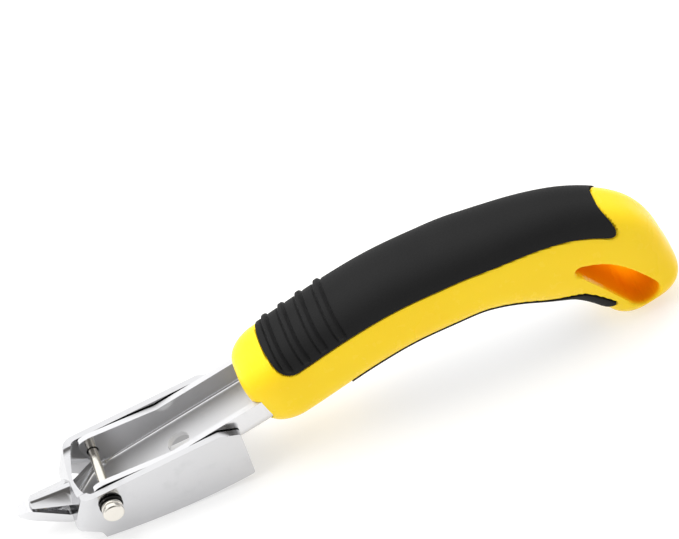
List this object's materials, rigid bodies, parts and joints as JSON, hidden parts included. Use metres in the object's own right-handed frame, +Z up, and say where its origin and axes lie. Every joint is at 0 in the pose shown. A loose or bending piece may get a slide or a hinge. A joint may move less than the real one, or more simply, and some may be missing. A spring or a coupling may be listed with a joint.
{
  "type": "staple remover",
  "caption": "Upholstery staple remover: pinching steel jaws on a cross pin, worked by a curved padded handle with a hang slot.",
  "frame": {"origin": "middle of the tool's footprint, on the surface that its cheeks' lower edges and its tail stand on", "axes": "+X from the jaws to the handle's tail, +Y across the tool along the pivot pin, +Z up"},
  "size_m": [0.1906, 0.0304, 0.0474],
  "materials": {
    "chrome": "polished, slightly wavy pressed sheet",
    "nickel": "satin",
    "black_washer": "blackened, oily",
    "yellow_plastic": "semi-gloss moulded",
    "black_rubber": "matte, fine texture"
  },
  "bodies": {
    "jaw_body": {"jaw_cover": "chrome", "pivot_pin": "nickel", "pin_cap": "nickel", "pin_washer": "black_washer"},
    "lever_body": {"lever_arm": "chrome", "handle_body": "yellow_plastic", "top_grip": "black_rubber", "belly_grip": "black_rubber"}
  },
  "joints": [
    {"name": "jaw_pivot", "type": "hinge", "parent": "jaw_body", "child": "lever_body", "pos_m": [-0.07026, 0.0013, 0.01207], "axis": [0, -1, 0], "range_deg": [0, 15]}
  ]
}
